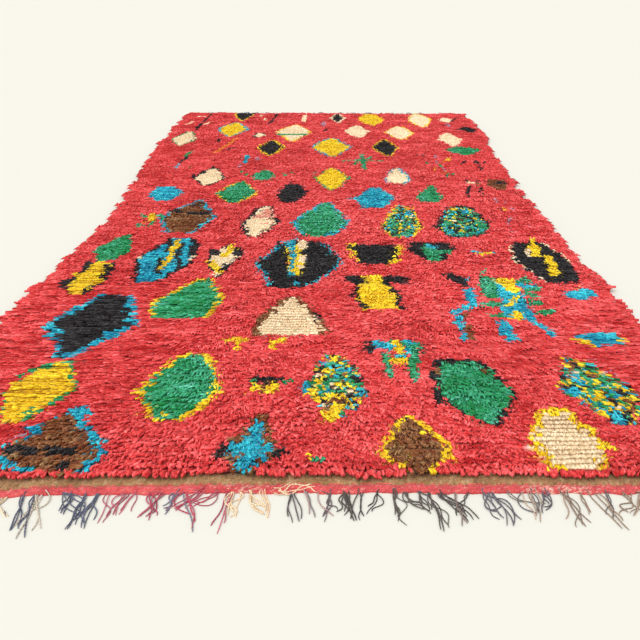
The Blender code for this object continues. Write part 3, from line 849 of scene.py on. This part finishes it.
def lockPattern(rings):
    """Faces of one lock, and where their corners lie in its cell of the map: across is the way
    round the lock and up is the way along it. Point 0 is the root and the last one the tip."""
    sides, levels = pile["sides"], ringLevels[rings]
    tip = 1 + sides * rings
    faces, corners = [], []
    for k in range(sides):
        left, right = (cellMargin + (1 - 2 * cellMargin) * (k + end) / sides for end in (0, 1))
        middle = (left + right) / 2
        a, b = 1 + k, 1 + (k + 1) % sides
        faces.append((0, b, a))
        corners.append(((middle, cellMargin), (right, levels[0]), (left, levels[0])))
        for low, up in zip(levels, levels[1:]):
            c, d = a + sides, b + sides
            faces += [(a, b, d), (a, d, c)]
            corners += [((left, low), (right, low), (right, up)), ((left, low), (right, up), (left, up))]
            a, b = c, d
        faces.append((a, b, tip))
        corners.append(((left, levels[-1]), (right, levels[-1]), (middle, 1 - cellMargin)))
    return np.array(faces), np.array(corners)


def unit(vectors):
    return vectors / np.linalg.norm(vectors, axis=-1, keepdims=True)


def lockPoints(knots, rings):
    """Points of each lock. The spine goes through root and ring centres; a ring's points are its
    centre plus radius times (cosine of the angle times the sideways direction plus sine times the
    direction that is square to spine and side)."""
    count, sides = knots["x"].size, pile["sides"]
    flat = {key: value.reshape(-1) for key, value in knots.items()}
    heading = np.stack((flat["side"], flat["front"], np.zeros(count)), 1)
    root = np.stack((flat["x"], flat["y"], pile["rootHeight"] * flat["high"]), 1)
    spine = [root]
    crests = [(share, height * flat["crest"]) for share, height, _ in rings]
    for share, height in (*crests, (1.0, flat["tipHeight"])):
        point = root + heading * (flat["run"] * share)[:, None]
        point[:, 2] = flat["high"] * height
        spine.append(point)
    points = np.empty((count, 2 + sides * len(rings), 3))
    points[:, 0] = root
    points[:, -1] = spine[-1]
    for ring, (share, height, fatness) in enumerate(rings):
        tangent = unit(spine[ring + 2] - spine[ring])
        side = unit(np.cross(tangent, (0.0, 0.0, 1.0)))
        top = np.cross(side, tangent)
        for k in range(sides):
            angle = math.tau / sides * k + flat["roll"]
            out = np.cos(angle)[:, None] * side + np.sin(angle)[:, None] * top
            points[:, 1 + sides * ring + k] = spine[ring + 1] + out * (fatness * flat["radius"])[:, None]
    points[..., 2] = np.maximum(points[..., 2], pile["clear"])
    return points


def makePile():
    rng = np.random.default_rng(pile["seed"])
    for part in pile["parts"]:
        knots = knotField(part, rng)
        rings, rows = part["rings"], part["rows"]
        lockFaces, lockMap = lockPattern(len(rings))
        across = part["columns"] // part["strips"]
        size = 2 + pile["sides"] * len(rings)
        wide, long = pile["fibres"]
        material = woolMaterial(part["name"] + "KnottedWool", (across * wide, rows * long, 1.0),
                                fibreMap="OFBake", **pile["finish"])
        shade = np.repeat(pile["shade"], [1, pile["sides"] * len(rings), 1])
        for strip in range(part["strips"]):
            some = {key: value[:, strip * across:(strip + 1) * across] for key, value in knots.items()}
            points = lockPoints(some, rings)
            count = len(points)
            faces = (np.arange(count)[:, None, None] * size + lockFaces[None]).reshape(-1, 3)
            piece = newPiece("%sPile%d" % (part["name"], strip + 1), points.reshape(-1, 3), faces, material)
            colour = palette[some["dye"].reshape(-1)][:, None, :]
            # the colours carry painted shade at roots and bends and a painted highlight at tips
            tones = some["tone"].reshape(-1, 1) * shade[None, :]
            tones[:, 0] = (some["tone"] * some["rootShade"]).ravel()
            if len(rings) > 1:
                tones[:, 1:1 + pile["sides"]] *= some["bendShade"].reshape(-1, 1)
                tones[:, -1] = (some["tone"] * some["tipShade"]).ravel()
            paintPoints(piece, toned(colour, tones).reshape(-1, 3))
            cell = np.stack(np.meshgrid(np.arange(across), np.arange(2 * rows)), -1).reshape(-1, 1, 1, 2)
            corners = (cell + lockMap[None]) / (across, 2 * rows)
            piece.data.uv_layers.new(name="OFBake").data.foreach_set("uv", corners.astype(np.float32).ravel())
            print(piece.name, count, "locks,", len(faces), "triangles")


# The ground cloth that the knots stand on, with the lower half of the yarn on it, in place of the imported
# pile
ground = {
    "columns": 70,
    "rows": 130,
    # closer lines of points at the rim, as shares of the width and of the length
    "rimAcross": (0.0, 0.005, 0.011),
    "rimAlong": (0.0, 0.003, 0.007),
    "relief": 0.0008,
    "rimFall": 0.0098,      # how much lower the rim is, and how wide
    "rimWidth": 0.018,
    "inset": 0.0032,        # how far it stops before the last knots at both ends, as a share
    # painted light: the top is lighter than its dye, most under cream, so the gaps between locks are less
    # dark
    "tone": 1.06,
    "creamTone": 1.35,
    "rimShade": 0.40,        # painted shadow under the last locks: how much darker its rim is
    "backShade": 0.8,       # of the pattern on its back
    "brightest": 0.95,
    "least": 0.0014,        # its top's lowest height, the bare cloth
    "rowShadeLines": (0.92, 0.28),       # painted shade between the rows of knots and lighter tone on them: mean and swing
    "seed": 19,
    "fibres": (500.0, 260.0, 400.0),
    "finish": {"mottle": 0.3, "mottleScale": 260.0, "relief": 0.8, "depth": 0.002},
}


def rimmed(rim, count):
    """Shares from 0 to 1 with closer ones at both rims."""
    middle = np.linspace(0, 1, count + 1)
    middle = middle[(middle > 1.5 * rim[-1]) & (middle < 1 - 1.5 * rim[-1])]
    return np.concatenate((rim, middle, 1 - np.array(rim[::-1])))


def slabPiece(name, x, y, low, high, material):
    """A closed slab over a grid of plan places: the grid at the low height, the grid at the high
    one, and a wall between their rims."""
    rows, columns = x.shape
    index = np.arange(rows * columns).reshape(rows, columns)
    quads = np.stack((index[:-1, :-1], index[:-1, 1:], index[1:, 1:], index[1:, :-1]), -1).reshape(-1, 4)
    count = rows * columns
    rim = np.concatenate((index[0, :-1], index[:-1, -1], index[-1, :0:-1], index[:0:-1, 0]))
    after = np.roll(rim, -1)
    wall = np.stack((rim, after, after + count, rim + count), 1)
    faces = np.concatenate((quads[:, ::-1], quads + count, wall))
    bottom = np.stack((x, y, np.broadcast_to(low, x.shape)), -1).reshape(-1, 3)
    top = np.stack((x, y, np.broadcast_to(high, x.shape)), -1).reshape(-1, 3)
    return newPiece(name, np.concatenate((bottom, top)), faces, material, smooth=False)


def paintRowLineShade(material):
    """Painted shade in lines between the rows of knots, lighter on the rows, which on the back stand
    for the rows themselves: the cosine of the place along the rug, one turn for each row."""
    tree, part = material.node_tree, pile["parts"][0]
    place = addNode(tree, "ShaderNodeAttribute", attribute_name="rowPlace")
    turns = math.tau * part["rows"] / (part["to"] * (rug["length"] - 2 * rug["lockReach"]))
    line = mathNode(tree, "COSINE", mathNode(tree, "MULTIPLY", place.outputs["Fac"], turns))
    mean, swing = ground["rowShadeLines"]
    retone(material, mathNode(tree, "SUBTRACT", mean, mathNode(tree, "MULTIPLY", line, swing)))


def makeGround():
    rng = np.random.default_rng(ground["seed"])
    s, t = np.meshgrid(rimmed(ground["rimAcross"], ground["columns"]),
                       rimmed(ground["rimAlong"], ground["rows"]))
    x, y = fieldPlace(s, ground["inset"] + (1 - 2 * ground["inset"]) * t)
    material = woolMaterial("groundWool", ground["fibres"], **ground["finish"])
    top = pile["body"] * (rug["pileTop"] + lumpsAt(x, y)) + ground["relief"] * rng.standard_normal(x.shape)
    fromRim = np.minimum(np.minimum(s, 1 - s) * np.ptp(x), np.minimum(t, 1 - t) * np.ptp(y))
    fall = np.clip(1 - fromRim / ground["rimWidth"], 0, 1)
    top = np.maximum(top - ground["rimFall"] * fall, ground["least"])
    piece = slabPiece("groundCloth", x, y, 0.0, top, material)
    piece.data.shade_smooth()
    dye = knotDyes(x, y + rug["centre"], rng)
    colour = palette[dye].reshape(-1, 3)
    # painted light on the top, lightest under cream
    tone = np.where(dye == creamDye, ground["creamTone"], ground["tone"])
    # painted shadow along the rim of the top, under the last locks
    tone = (tone - ground["rimShade"] * fall).ravel()
    face = np.clip(toned(colour, tone), 0, ground["brightest"])
    paintPoints(piece, np.concatenate((colour * ground["backShade"], face)))
    paintRowLineShade(material)
    place = (y + rug["centre"] - rug["lockReach"]).astype(np.float32).ravel()
    layer = piece.data.attributes.new("rowPlace", "FLOAT", "POINT")
    layer.data.foreach_set("value", np.concatenate((place, place)))
    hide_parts("pile_field")


# The woven ends: the brown band beside the knots and the red stripe outside it
ends = {
    "cells": {"near": 400, "far": 120},     # across the rug
    "rows": 6,
    # width of the near band at places across; the far one is as wide as the last
    "bandAt": (-0.62, -0.50, 0.80),
    "band": (0.033, 0.022, 0.022),
    "stripe": 0.020,
    "gap": 0.0003,
    "tuck": 0.0085,         # how far the band runs in under the last knots
    "waver": 0.0016,        # how far the stripe's outer edge wanders
    "mostWaver": 1.8,       # its limit, as a factor
    "waverCells": 9,        # cells that it takes to change
    "seamWaver": 0.4,       # the seam between band and stripe wanders by this share of it
    "below": 0.0002,        # the mean top lies this far below the solids'
    "lift": 0.0005,         # uneven top: waves, and single points
    "lifts": (0.5, 0.3),
    "waves": (61.0, 23.0, 90.0),    # radians for each metre, twice across and once along
    "seed": 5,
    "brown": (0.360, 0.190, 0.075),
    "darkBrown": (0.160, 0.085, 0.035),
    "tan": (0.560, 0.380, 0.200),
    "red": (0.710, 0.085, 0.085),
    "darkRed": (0.420, 0.024, 0.030),
    "pale": (0.900, 0.640, 0.480),
    "darkCells": 0.7,       # how dark the darkest cells of the stripe are
    # the band's flecks: share of dark and of light brown at a value of 0, its growth, its most
    "darkFlecks": (1.4, -4, 0.6),
    "lightFlecks": (-2.5, 4, 0.6),
    "teeth": {"band": 0.45, "stripe": 0.35},        # share of cells that cross the seam
    "seamRow": 0.1,         # as a share of the width
    # the pale warp shows through the stripe at these places across, in metres: middle and spread;
    # share of pale cells elsewhere and more there, and how pale they are
    "paleAt": ((-0.72, 0.05), (-0.125, 0.05), (0.42, 0.07)),
    "paleCells": (0.05, 0.40),
    "paleness": (0.25, 0.3),
    # threads' width across and along, and radians of the slanting lines for each metre
    "weaves": {"Band": ("brownWeave", 0.0021, 0.0016, 1500.0),
               "Stripe": ("redWeave", 0.0032, 0.0013, 1250.0)},
    "fibres": (700.0, 700.0, 700.0),
    "finish": {"mottle": 0.85, "mottleScale": 620.0, "abrash": 0.25, "abrashScale": 30.0, "relief": 0.5,
               "depth": 0.0005, "sheen": 0.2},
    "threadRelief": {"Strength": 0.8, "Distance": 0.0006},
    "slantAlong": 1.3,      # how much faster they turn along than across
    "slantBend": 9.0,       # how far a noise of this scale bends them
    "slantNoise": 90.0,
    "slantTone": 0.22,
}


def weaveMaterial(name, threadAcross, threadAlong, twill):
    """A weave: the height is the size of sine across times sine along, so that threads of the two
    ways come up by turns, and a slanting sine, bent by a noise, darkens the twill lines."""
    material = woolMaterial(name, ends["fibres"], **ends["finish"])
    tree = material.node_tree
    place = addNode(tree, "ShaderNodeTexCoord").outputs["Object"]
    x, y, _ = addNode(tree, "ShaderNodeSeparateXYZ", {"Vector": place}).outputs

    def times(first, second):
        return mathNode(tree, "MULTIPLY", first, second)

    across = mathNode(tree, "SINE", times(x, math.pi / threadAcross))
    along = mathNode(tree, "SINE", times(y, math.pi / threadAlong))
    height = mathNode(tree, "ABSOLUTE", times(across, along))
    threads = addNode(tree, "ShaderNodeBump", {**ends["threadRelief"], "Height": height})
    feed(tree, tree.nodes["relief"], {"Normal": threads.outputs["Normal"]})
    bend = noiseNode(tree, Vector=place, Scale=ends["slantNoise"])
    slant = mathNode(tree, "ADD", times(x, twill), times(y, twill * ends["slantAlong"]))
    slant = mathNode(tree, "ADD", slant, times(bend, ends["slantBend"]))
    lines = times(mathNode(tree, "SINE", slant), ends["slantTone"])
    retone(material, mathNode(tree, "ADD", lines, 1.0))
    return material


def makeStrip(name, node, inner, outer, material, colours, slotName):
    """A woven strip between two lines along the rug, its uneven top a little below its node's."""
    x, y = inner
    farX, farY = outer
    rng = np.random.default_rng(len(name))
    share = np.linspace(0, 1, ends["rows"] + 1)[:, None]
    gridX = x[None] + (farX - x)[None] * share
    gridY = y[None] + (farY - y)[None] * share
    tint = colours(gridX, share + 0 * gridX, rng)
    if farY[0] < y[0]:
        gridX, gridY, tint = gridX[::-1], gridY[::-1], tint[::-1]
    first, second, along = ends["waves"]
    wave = np.sin(gridX * first) * np.cos(gridX * second + gridY * along)
    waves, points = ends["lifts"]
    uneven = waves * wave + points * rng.standard_normal(gridX.shape)
    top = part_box(node)[1].z - ends["below"] + ends["lift"] * uneven
    piece = slabPiece(name, gridX, gridY, 0.0, top, material)
    piece.data.shade_smooth()
    tint = tint.reshape(-1, 3)
    paintPoints(piece, np.concatenate((tint, tint)))
    return piece


def mixed(first, second, share):
    return np.array(first) * (1 - share[..., None]) + np.array(second) * share[..., None]


def toward(colour, goal, share):
    return colour + (np.array(goal) - colour) * share[..., None]


def bandTint(gridX, share, rng):
    """Brown with darker and lighter flecks over two rows of cells, and red teeth at its outer edge."""
    fleck = rng.uniform(0, 1, gridX.shape)
    fleck = 0.5 * fleck + 0.5 * np.roll(fleck, 1, axis=0)

    def flecked(key):
        start, growth, most = ends[key]
        return np.clip(start + growth * fleck, 0, most)

    colour = mixed(ends["brown"], ends["darkBrown"], flecked("darkFlecks"))
    colour = toward(colour, ends["tan"], flecked("lightFlecks"))
    teeth = (share > 1 - ends["seamRow"]) & (rng.uniform(0, 1, gridX.shape) < ends["teeth"]["band"])
    return np.where(teeth[..., None], np.array(ends["red"]), colour)


def stripeTint(gridX, share, rng):
    """Red with darker flecks, paler where the pale warp shows, and brown teeth at its inner edge."""
    colour = mixed(ends["red"], ends["darkRed"], ends["darkCells"] * rng.uniform(0, 1, gridX.shape) ** 2)
    pale = sum(np.exp(-((gridX - middle) / spread) ** 2) for middle, spread in ends["paleAt"])
    few, more = ends["paleCells"]
    least, paler = ends["paleness"]
    flecks = (rng.uniform(0, 1, gridX.shape) < few + more * pale) * (least + paler * np.minimum(pale, 1))
    colour = toward(colour, ends["pale"], flecks)
    teeth = (share < ends["seamRow"]) & (rng.uniform(0, 1, gridX.shape) < ends["teeth"]["stripe"])
    return np.where(teeth[..., None], np.array(ends["brown"]), colour)


def makeEnds():
    """Both strips of both ends. Returns the outer line of each end."""
    weaves = {kind: weaveMaterial(*form) for kind, form in ends["weaves"].items()}
    outer = {}
    rng = np.random.default_rng(ends["seed"])
    for end, sign, start in (("near", -1, rug["lockReach"]), ("far", 1, rug["length"] - rug["lockReach"])):
        left, right = knottedEdges(start)
        u = np.linspace(left, right, ends["cells"][end] + 1)
        cells = ends["waverCells"]
        blur = np.ones(cells) / math.sqrt(cells)
        waver = np.convolve(rng.standard_normal(len(u) + cells - 1), blur, "valid")
        waver = ends["waver"] * np.clip(waver, -ends["mostWaver"], ends["mostWaver"])
        bandWidth = np.interp(u, ends["bandAt"], ends["band"]) if end == "near" else ends["band"][-1]
        seam = bandWidth + ends["seamWaver"] * waver
        marks = (-ends["tuck"], seam, bandWidth + ends["gap"] + ends["seamWaver"] * waver,
                 bandWidth + ends["stripe"] + waver)
        lines = [planPlace(u, start + sign * (mark + np.zeros_like(u))) for mark in marks]
        band = makeStrip(end + "Band", end + "_band", *lines[:2], weaves["Band"], bandTint, "plain_weave")
        stripe = makeStrip(end + "Stripe", end + "_fringe", *lines[2:], weaves["Stripe"], stripeTint,
                           "end_stripe")
        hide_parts(end + "_band")
        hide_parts(end + "_fringe")
        outer[end] = lines[3]
    print("woven ends")
    return outer


# The warp ends: bunches of yarns that wind round each other and then part, lying on the floor
fringe = {
    "sides": 3,
    "radius": 0.00122,
    "radii": (0.8, 1.2),
    "endRadius": (0.93, 0.65),      # from this share of the length a yarn is this thin
    "near": {"steps": 26, "pitch": 0.0225, "per": (2, 5), "length": (0.044, 0.086), "seed": 31},
    "far": {"steps": 10, "pitch": 0.0300, "per": (2, 3), "length": (0.035, 0.070), "seed": 37},
    "lengths": (0.75, 1.12),        # of a bunch's yarns, as shares of its own
    "shift": 0.004,                 # bunches lie unevenly
    "rootSpread": 0.0042,           # how far apart the yarns of a bunch leave the cloth
    "corner": 0.004,                # no yarn leaves it nearer to the corners
    # how far in on the stripe yarns start, and which share of them
    "starts": ((0.002, 0.003, 0.007, 0.013), (0.4, 0.35, 0.15, 0.10)),
    # a bunch's heading: spread at its root, how much it swings and how many times
    "heading": 0.30,
    "swing": 0.32,
    "swings": (0.5, 1.0),
    "gather": (0.1, 1.0),           # by what share of their distance its yarns draw together
    "apartTurn": 0.10,              # how much the headings of a bunch's yarns differ
    "sway": 0.0034,                 # a yarn's own way aside, and how many times it sways
    "sways": (0.6, 1.6),
    "strays": 0.10,                 # share of yarns that set off to the side, and by what angle
    "strayTurn": 1.1,
    "mostTurn": 2.2,
    "rise": 0.0020,                 # height of a bunch above the floor where yarns cross
    "windings": 1.5,
    "ownRise": 0.6,
    "settle": 1.2,                  # it falls off from this less one, as a share of the length
    "clear": 1.05,                  # a yarn's height on the floor, in radii
    # yarns come down from the cloth over this share of the length, and are down at this many of it
    "onCloth": 0.10,
    "comeDown": 1.3,
    # dye zones: where each begins across, and three yarns in it
    "zones": (
        (-0.90, (0.760, 0.600, 0.420), (0.085, 0.095, 0.150), (0.720, 0.600, 0.450)),
        (-0.555, (0.085, 0.095, 0.150), (0.110, 0.120, 0.170), (0.620, 0.530, 0.430)),
        (-0.42, (0.430, 0.055, 0.100), (0.550, 0.140, 0.180), (0.200, 0.180, 0.240)),
        (-0.17, (0.880, 0.660, 0.420), (0.800, 0.560, 0.360), (0.850, 0.680, 0.500)),
        (-0.09, (0.130, 0.100, 0.110), (0.380, 0.260, 0.240), (0.200, 0.160, 0.170)),
        (0.03, (0.085, 0.068, 0.060), (0.060, 0.048, 0.045), (0.200, 0.150, 0.130)),
        (0.28, (0.120, 0.105, 0.125), (0.160, 0.125, 0.110), (0.480, 0.350, 0.260)),
        (0.38, (0.350, 0.240, 0.170), (0.250, 0.170, 0.125), (0.130, 0.110, 0.120)),
    ),
    "shares": (0.55, 0.30, 0.15),   # of the three yarns
    "oneDye": 0.75,                 # share of a bunch's yarns that have its main dye
    "zoneSpread": 0.015,
    "tones": (0.8, 1.25),
    # two plies of different shade come up by turns: how each differs from the yarn, by what share,
    # and below what brightness and how strongly that grows in a dark yarn
    "plies": (1.2, -0.5),
    "plyTones": (0.1, 0.5),
    "plyDark": (0.25, 3),
    "fibres": (1400.0, 500.0, 900.0),
    "finish": {"mottle": 0.35, "mottleScale": 600.0, "relief": 0.7, "depth": 0.0005},
}


def yarnTubes(paths, radius, steps, sides):
    """Tubes along many paths at once: a ring's points are its centre plus the radius times cosine
    along the sideways direction plus sine along the upright one."""
    tangent = unit(np.gradient(paths, axis=1))
    side = unit(np.cross(tangent, (0.0, 0.0, 1.0)))
    top = np.cross(side, tangent)
    place = np.linspace(0, 1, steps)[None, :, None]
    thinFrom, thin = fringe["endRadius"]
    size = radius[:, None, None] * np.where(place > thinFrom, thin, 1.0)
    angle = np.arange(sides) * math.tau / sides
    points = (paths[:, :, None]
              + (size * np.cos(angle))[..., None] * side[:, :, None]
              + (size * np.sin(angle))[..., None] * top[:, :, None])
    count = len(paths)
    ring = np.arange(steps * sides).reshape(steps, sides)
    here, over = ring[:-1], np.roll(ring[:-1], -1, axis=1)
    above, aboveOver = ring[1:], np.roll(ring[1:], -1, axis=1)
    walls = np.concatenate((np.stack((here, above, aboveOver), -1), np.stack((here, aboveOver, over), -1)))
    walls = walls.reshape(-1, 3)
    fan = np.stack((np.zeros(sides - 2, int), np.arange(1, sides - 1), np.arange(2, sides)), 1)
    caps = np.concatenate((fan, (fan[:, ::-1] + (steps - 1) * sides)))
    template = np.concatenate((walls, caps))
    faces = (np.arange(count)[:, None, None] * steps * sides + template[None]).reshape(-1, 3)
    return points.reshape(-1, 3), faces


def fringePaths(end, line, sign, rng):
    """Yarn paths of an end, their radii, each yarn's bunch and the bunches' places across. Each
    bunch's heading swings smoothly along it. A yarn starts at its own place beside its bunch, runs
    along with it and draws nearer to it, with a sway of its own. The paths are the running sums of
    the headings."""
    form = fringe[end]
    lineX, lineY = line
    bunches = int(np.ptp(lineX) / form["pitch"])
    centres = lineX[0] + (np.arange(bunches) + 0.5) * form["pitch"] + rng.normal(0, fringe["shift"], bunches)
    per = rng.integers(form["per"][0], form["per"][1] + 1, bunches)
    bunch = np.repeat(np.arange(bunches), per)
    count = len(bunch)
    order = np.concatenate([np.arange(n) / n for n in per])
    steps = form["steps"]
    t = np.linspace(0, 1, steps)[None]

    def draw(spread, size=bunches):
        return rng.normal(0, spread, size)[:, None]

    def between(limits, size=bunches):
        return rng.uniform(*limits, size)[:, None]

    def swinging(phase, turns):
        return np.sin(phase + math.tau * turns * t) - np.sin(phase)

    swings, phase, swing = between(fringe["swings"]), between((0, math.tau)), draw(fringe["swing"])
    trunk = draw(fringe["heading"]) + swing * swinging(phase, swings)
    ownPhase, sways = between((0, math.tau), count), between(fringe["sways"], count)
    stray = (rng.uniform(0, 1, count) < fringe["strays"])[:, None] * rng.choice((-1, 1), count)[:, None]
    heading = (trunk[bunch] + draw(fringe["apartTurn"], count)
               + stray * fringe["strayTurn"] * np.cos(math.pi * t))
    heading = np.clip(heading, -fringe["mostTurn"], fringe["mostTurn"])
    length = between(form["length"])[bunch] * between(fringe["lengths"], count)
    step = length / (steps - 1)
    apart = draw(fringe["rootSpread"], count)
    startX = np.clip(centres[bunch] + apart[:, 0], lineX[0] + fringe["corner"], lineX[-1] - fringe["corner"])
    depths, often = fringe["starts"]
    startY = np.interp(startX, lineX, lineY) - sign * rng.choice(depths, count, p=often)
    x = startX[:, None] + np.cumsum(np.sin(heading) * step, axis=1)
    y = startY[:, None] + sign * np.cumsum(np.cos(heading) * step, axis=1)
    gather = between(fringe["gather"])[bunch]
    aside = draw(fringe["sway"], count) * swinging(ownPhase, sways) - apart * gather * t
    x = x + aside * np.cos(heading)
    y = y - sign * aside * np.sin(heading)
    radius = fringe["radius"] * rng.uniform(*fringe["radii"], count)
    winding = np.sin(ownPhase * 3 + math.tau * fringe["windings"] * t) ** 2
    layer = fringe["rise"] * (order[:, None] + fringe["ownRise"] * winding)
    z = radius[:, None] * fringe["clear"] + layer * np.clip(fringe["settle"] - t, 0, 1)
    onCloth = np.clip(fringe["comeDown"] - t / fringe["onCloth"], 0, 1)
    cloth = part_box(end + "_fringe")[1].z + radius[:, None]
    paths = np.stack((x, y, z + np.maximum(0, cloth - z) * onCloth), -1)
    return paths, radius, bunch, centres


def makeFringe(end, line, sign, material):
    rng = np.random.default_rng(fringe[end]["seed"])
    paths, radius, bunch, centres = fringePaths(end, line, sign, rng)
    count, steps = paths.shape[:2]
    bunches = len(centres)
    points, faces = yarnTubes(paths, radius, steps, fringe["sides"])
    piece = newPiece(end + "Fringe", points, faces, material)
    starts = np.array([zone[0] for zone in fringe["zones"]])
    shift = rng.normal(0, fringe["zoneSpread"], bunches)
    zone = np.clip(np.searchsorted(starts, (centres + shift)[bunch]) - 1, 0, len(starts) - 1)
    yarns = np.array([zone[1:] for zone in fringe["zones"]])
    ofBunch = rng.uniform(0, 1, count) < fringe["oneDye"]
    main = rng.choice(3, bunches, p=fringe["shares"])[bunch]
    pick = np.where(ofBunch, main, rng.choice(3, count, p=fringe["shares"]))
    colour = yarns[zone, pick] * rng.uniform(*fringe["tones"], count)[:, None]
    dark, growth = fringe["plyDark"]
    twist = rng.uniform(*fringe["plyTones"], count) + np.clip(dark - colour.mean(axis=1), 0, 1) * growth
    ply = 1 + twist[:, None, None] * np.where(np.arange(steps) % 2, *fringe["plies"])[None, :, None]
    shades = (colour[:, None, :] * ply)[:, :, None, :].repeat(fringe["sides"], axis=2)
    paintPoints(piece, shades.reshape(-1, 3))
    print(piece.name, count, "yarns,", len(faces), "triangles")


makePile()
makeGround()
outerLines = makeEnds()
warpYarn = woolMaterial("warpYarn", fringe["fibres"], **fringe["finish"])
makeFringe("near", outerLines["near"], -1, warpYarn)
makeFringe("far", outerLines["far"], 1, warpYarn)
total = sum(len(piece.data.loops) - 2 * len(piece.data.polygons)
            for piece in bpy.data.objects if piece.type == "MESH")
print("triangles in all:", total)


# The floor, the light and the camera
studio = {
    "floorSize": 60.0,
    "floorColour": (0.700, 0.688, 0.614),
    "sky": 0.88,
    "lampPlace": (-1.6, -1.4, 3.6),
    "lampAngle": 40.0,      # degrees across, so that shadows are soft
    "lampPower": 1.72,
    "paint": {"scale": 6.0, "swing": 0.1, "least": 0.82},       # of the floor's roughness
}
camera = {
    "lens": 35.0,
    "sensor": 36.0,
    "across": 0.0126,
    "before": 0.823,        # in front of the near tips
    "height": 0.819,
    "pitch": 30.23,         # degrees down
    "yaw": 0.875,           # degrees to the left
}


def makeStudio():
    mesh = bpy.data.meshes.new("floor")
    half = studio["floorSize"] / 2
    corners = [(-half, -half, 0), (half, -half, 0), (half, half, 0), (-half, half, 0)]
    mesh.from_pydata(corners, [], [(0, 1, 2, 3)])
    floor = bpy.data.objects.new("floor", mesh)
    bpy.context.scene.collection.objects.link(floor)
    paint = bpy.data.materials.new("palePaint")
    paint.use_nodes = True
    tree = paint.node_tree
    finish = studio["paint"]
    noise = noiseNode(tree, Scale=finish["scale"])
    rough = mathNode(tree, "ADD", mathNode(tree, "MULTIPLY", noise, finish["swing"]), finish["least"])
    feed(tree, tree.nodes["Principled BSDF"], {"Base Color": (*studio["floorColour"], 1), "Roughness": rough})
    mesh.materials.append(paint)
    world = bpy.data.worlds.new("studioSky")
    world.use_nodes = True
    sky = world.node_tree.nodes["Background"]
    sky.inputs["Color"].default_value = (1, 1, 1, 1)
    sky.inputs["Strength"].default_value = studio["sky"]
    bpy.context.scene.world = world
    lamp = bpy.data.objects.new("softSun", bpy.data.lights.new("softSun", "SUN"))
    lamp.data.angle = math.radians(studio["lampAngle"])
    lamp.data.energy = studio["lampPower"]
    lamp.location = studio["lampPlace"]
    lamp.rotation_euler = (-Vector(studio["lampPlace"])).to_track_quat("-Z", "Y").to_euler()
    bpy.context.scene.collection.objects.link(lamp)
    bpy.context.scene.view_settings.view_transform = "Standard"
    print("studio")


def makeCamera():
    eye = bpy.data.objects.new("camera", bpy.data.cameras.new("camera"))
    eye.data.lens = camera["lens"]
    eye.data.sensor_width = camera["sensor"]
    eye.data.dof.use_dof = False
    pitch, yaw = math.radians(camera["pitch"]), math.radians(camera["yaw"])
    ahead = Vector((-math.sin(yaw) * math.cos(pitch), math.cos(yaw) * math.cos(pitch), -math.sin(pitch)))
    eye.location = (camera["across"], -rug["centre"] - camera["before"], camera["height"])
    eye.rotation_euler = ahead.to_track_quat("-Z", "Y").to_euler()
    bpy.context.scene.collection.objects.link(eye)
    bpy.context.scene.camera = eye


makeStudio()
makeCamera()
